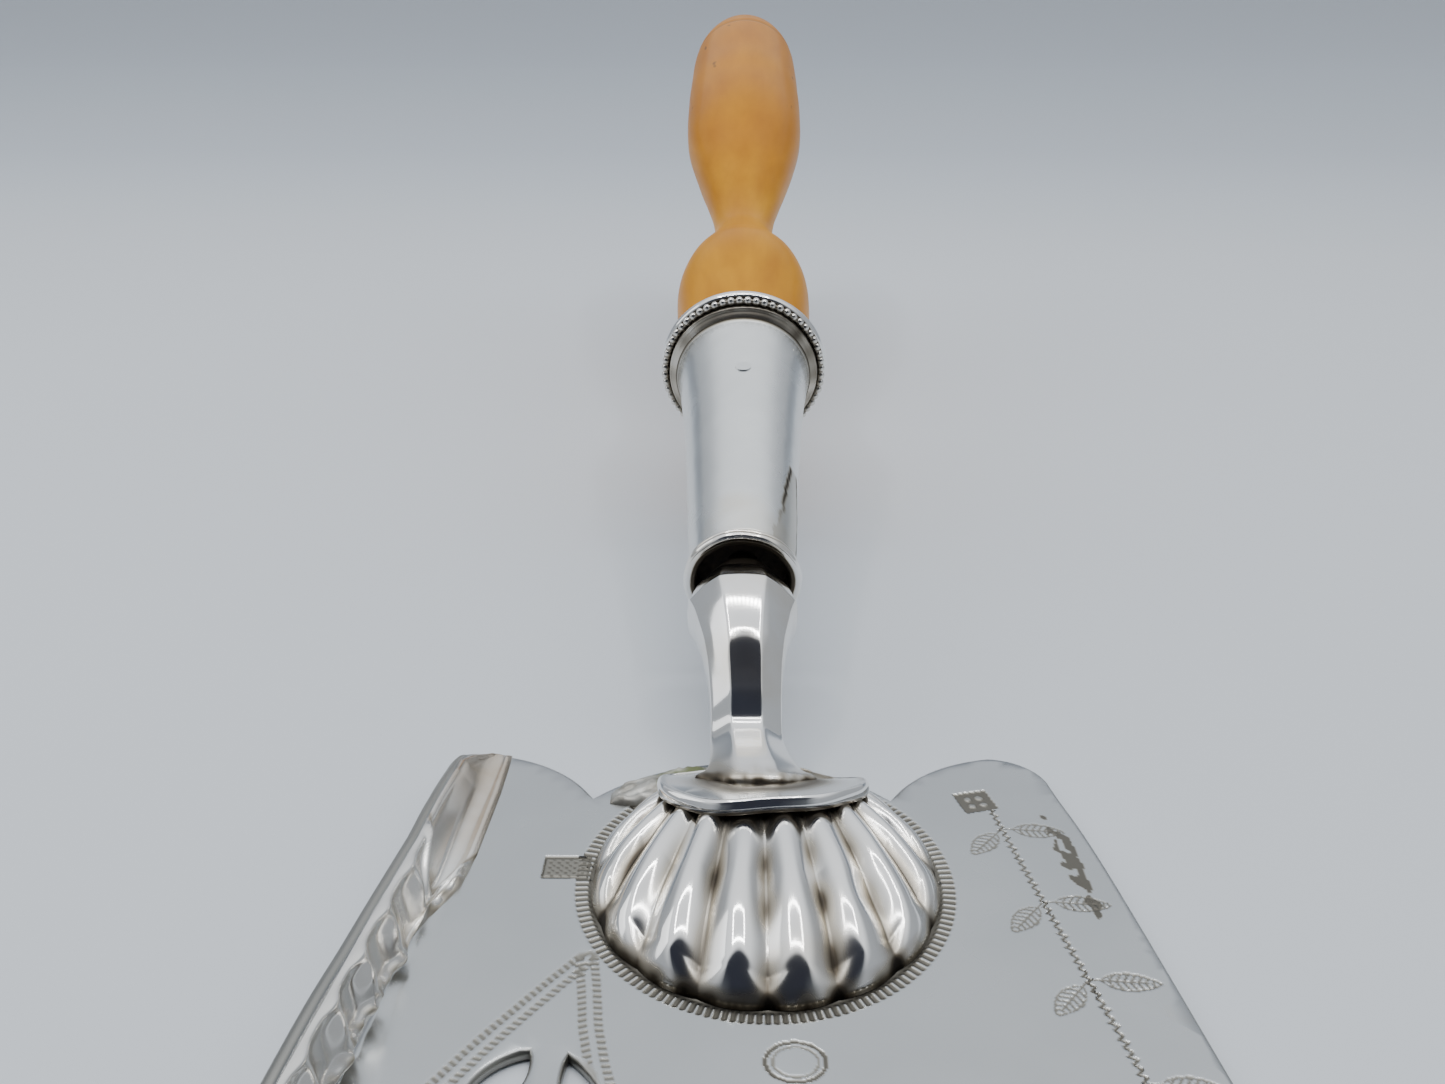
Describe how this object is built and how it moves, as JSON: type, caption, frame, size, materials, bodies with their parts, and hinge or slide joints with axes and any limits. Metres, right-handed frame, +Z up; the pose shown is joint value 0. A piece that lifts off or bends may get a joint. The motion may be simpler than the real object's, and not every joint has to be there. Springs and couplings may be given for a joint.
{
  "type": "serving slice",
  "caption": "Flat pierced serving slice with one raised fluted side, a scallop boss, an eight-sided stem, a ferrule and a turned wooden grip.",
  "frame": {"origin": "on the flat underside of the blade, in the vertical plane of the handle, level with the middle of the shell boss", "axes": "+Z up from the surface the blade rests on; +Y along the blade towards the grip; +X towards the plain side of the blade, away from the raised side"},
  "size_m": [0.0734, 0.3119, 0.0569],
  "materials": {
    "satin_silver": "satin silver with fine scratches and light tarnish",
    "polished_silver": "polished silver, tarnished in the hollows",
    "iron": "dull dark iron",
    "cement": "dark brown cutler's cement",
    "boxwood": "amber yellow polished wood with faint grain and dark flecks"
  },
  "bodies": {
    "root": {"blade": "satin_silver", "side_border": "polished_silver", "heel_plate": "satin_silver", "shell_boss": "polished_silver", "foot_collar": "polished_silver", "stem": "polished_silver", "tang": "iron", "ferrule": "polished_silver", "ferrule_lip": "polished_silver", "ferrule_filler": "cement", "ferrule_pin": "polished_silver", "cup_ring": "polished_silver", "bead_ring": "polished_silver", "back_band": "polished_silver", "grip": "boxwood"}
  },
  "joints": []
}
